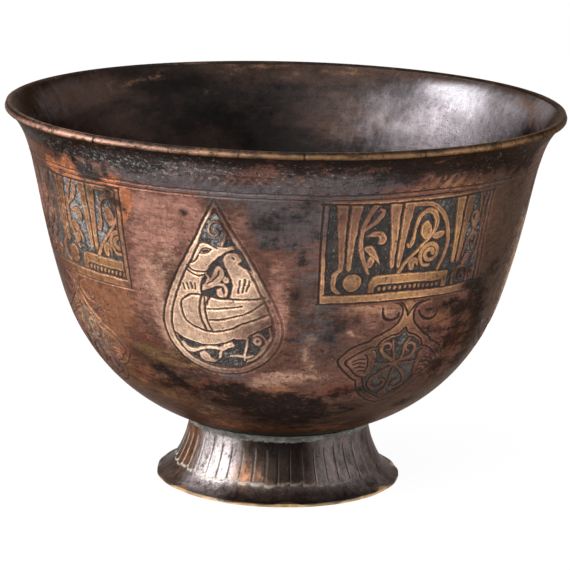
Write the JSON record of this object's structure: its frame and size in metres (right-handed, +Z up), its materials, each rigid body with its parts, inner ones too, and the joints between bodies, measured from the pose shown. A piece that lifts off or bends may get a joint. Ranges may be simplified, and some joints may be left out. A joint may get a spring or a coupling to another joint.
{
  "type": "footed bowl",
  "caption": "Deep bronze bowl with a flared lip on a soldered trumpet foot, engraved with panels, drops and pendants whose grounds are filled with black compound.",
  "frame": {"origin": "on the bowl's axis, in the plane that the foot stands on", "axes": "+Z up along the bowl's axis; -Y is the side shown first, with a drop just left of it and a panel right"},
  "size_m": [0.168, 0.168, 0.1148],
  "materials": {
    "bowl_bronze": "reddish bronze, hand-worn satin under a patchy dark brown and blue-black patina",
    "foot_bronze": "dark brown bronze patina, rubbed bright on the flange, pale deposits in the flutes",
    "solder": "dull grey-green lead-tin solder, grainy",
    "panel_compound": "matte black compound with a blue-grey bloom",
    "drop_compound": "matte black compound with a blue-grey bloom",
    "pendant_compound": "matte black compound with a blue-grey bloom, partly worn out"
  },
  "bodies": {
    "root": {"bowl_shell": "bowl_bronze", "foot": "foot_bronze", "foot_solder": "solder", "panel_fill_1": "panel_compound", "panel_fill_2": "panel_compound", "panel_fill_3": "panel_compound", "panel_fill_4": "panel_compound", "bead_slot_fill_1": "panel_compound", "bead_slot_fill_2": "panel_compound", "bead_slot_fill_3": "panel_compound", "bead_slot_fill_4": "panel_compound", "drop_upper_fill_1": "drop_compound", "drop_upper_fill_2": "drop_compound", "drop_upper_fill_3": "drop_compound", "drop_upper_fill_4": "drop_compound", "drop_lower_fill_1": "drop_compound", "drop_lower_fill_2": "drop_compound", "drop_lower_fill_3": "drop_compound", "drop_lower_fill_4": "drop_compound", "pendant_fill_1": "pendant_compound", "pendant_fill_2": "pendant_compound", "pendant_fill_3": "pendant_compound", "pendant_fill_4": "pendant_compound"}
  },
  "joints": []
}
